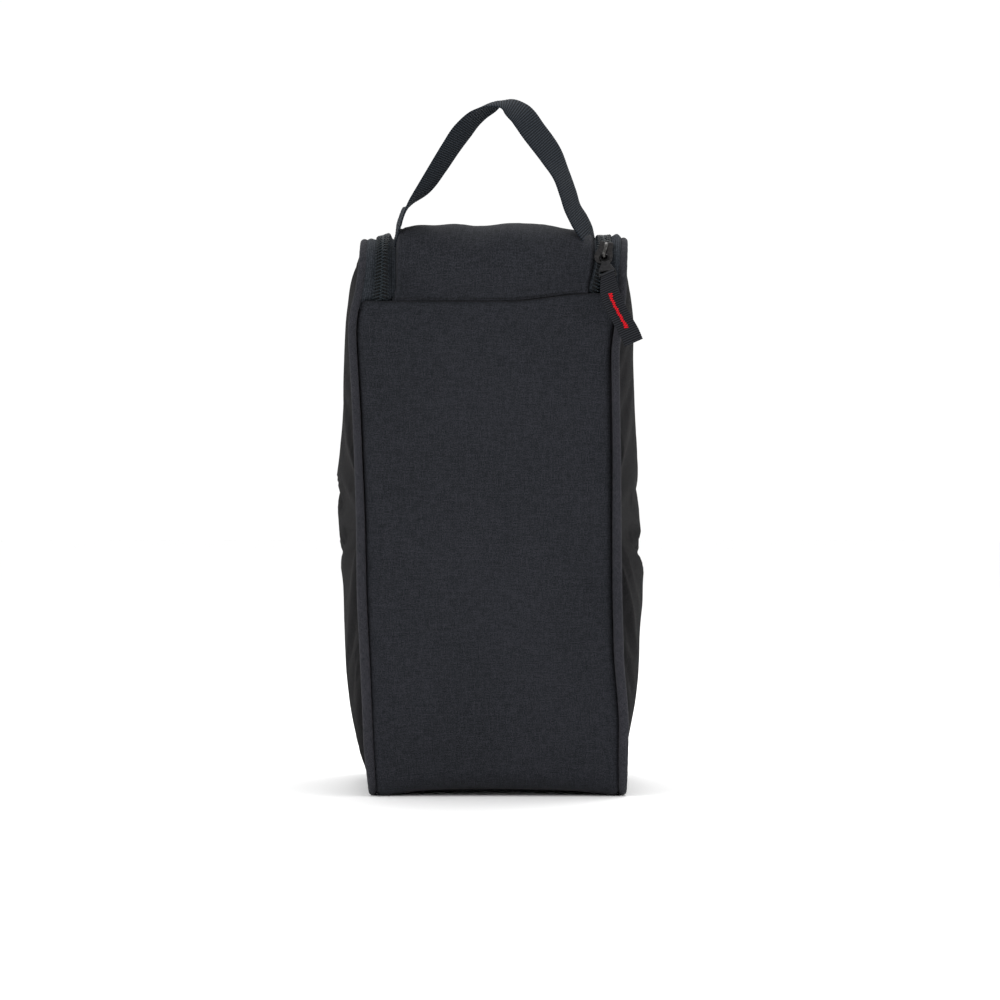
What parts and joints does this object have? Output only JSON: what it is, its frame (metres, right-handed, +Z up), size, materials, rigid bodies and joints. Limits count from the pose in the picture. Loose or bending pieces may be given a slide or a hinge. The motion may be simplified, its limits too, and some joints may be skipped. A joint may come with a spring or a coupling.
{
  "type": "shoe bag",
  "caption": "Upright zipped shoe bag with bulging piped side panels, a lid flap that folds forward, a U-shaped coil zip with a webbing puller, and a webbing grab handle.",
  "frame": {"origin": "on the floor, at the centre of the bag's base", "axes": "+Z up, -Y out of the narrow face with the hinged flap and the handle, +X to the right as that face is seen"},
  "size_m": [0.1932, 0.2225, 0.425],
  "materials": {
    "shell_fabric": "plain-woven polyester with a faint heather, coated inside",
    "side_fabric": "plain-woven polyester, neutral dark grey",
    "piping_fabric": "plain-woven polyester cut on the bias round a cord",
    "filler_cord": "white braided cord",
    "binding_tape": "ribbed binding tape",
    "zip_tape": "herringbone-woven zip tape",
    "zip_coil": "nylon coil, slightly glossy",
    "dark_metal": "gunmetal plating, semi-gloss",
    "spring_steel": "plain spring steel",
    "webbing": "ribbed polyester webbing",
    "red_thread": "dense red polyester stitches"
  },
  "bodies": {
    "bag": {"front_panel": "shell_fabric", "base_panel": "shell_fabric", "back_panel": "shell_fabric", "left_side_panel": "side_fabric", "right_side_panel": "side_fabric", "left_piping": "piping_fabric", "right_piping": "piping_fabric", "left_piping_filler": "filler_cord", "right_piping_filler": "filler_cord", "left_seam_binding": "binding_tape", "right_seam_binding": "binding_tape", "hinge_seam_binding": "binding_tape", "zip_tape_bag_side": "zip_tape", "zip_coil_bag_side": "zip_coil", "zip_end_stop": "dark_metal", "zip_top_stop_bag_side": "dark_metal"},
    "flap": {"flap_panel": "shell_fabric", "zip_tape_flap_side": "zip_tape", "zip_coil_flap_side": "zip_coil", "handle_tail_left": "webbing", "handle_tail_right": "webbing"},
    "handle": {"handle_strap": "webbing"},
    "slider": {"slider_body": "dark_metal", "slider_bridge": "dark_metal", "slider_lock_spring": "spring_steel"},
    "pull_tab": {"pull_tab": "dark_metal"},
    "puller": {"puller_webbing": "webbing", "puller_bartack": "red_thread"}
  },
  "joints": [
    {"name": "flap_hinge", "type": "hinge", "parent": "bag", "child": "flap", "pos_m": [0, -0.1, 0.301], "axis": [1, 0, 0], "range_deg": [0, 140]},
    {"name": "handle_swing", "type": "hinge", "parent": "flap", "child": "handle", "pos_m": [0, -0.082, 0.354], "axis": [1, 0, 0], "range_deg": [-95, 32]},
    {"name": "slider_travel", "type": "hinge", "parent": "bag", "child": "slider", "pos_m": [0.067, -0.078, 0.318], "axis": [-1, 0, 0], "range_deg": [-9, 60]},
    {"name": "tab_lift", "type": "hinge", "parent": "slider", "child": "pull_tab", "pos_m": [0.067, -0.10144, 0.3283], "axis": [-0.9781, -0.104, -0.1801], "range_deg": [0, 110]},
    {"name": "puller_fold", "type": "hinge", "parent": "pull_tab", "child": "puller", "pos_m": [0.07008, -0.10868, 0.31576], "axis": [-0.9781, -0.104, -0.1801], "range_deg": [-9, 100]}
  ]
}
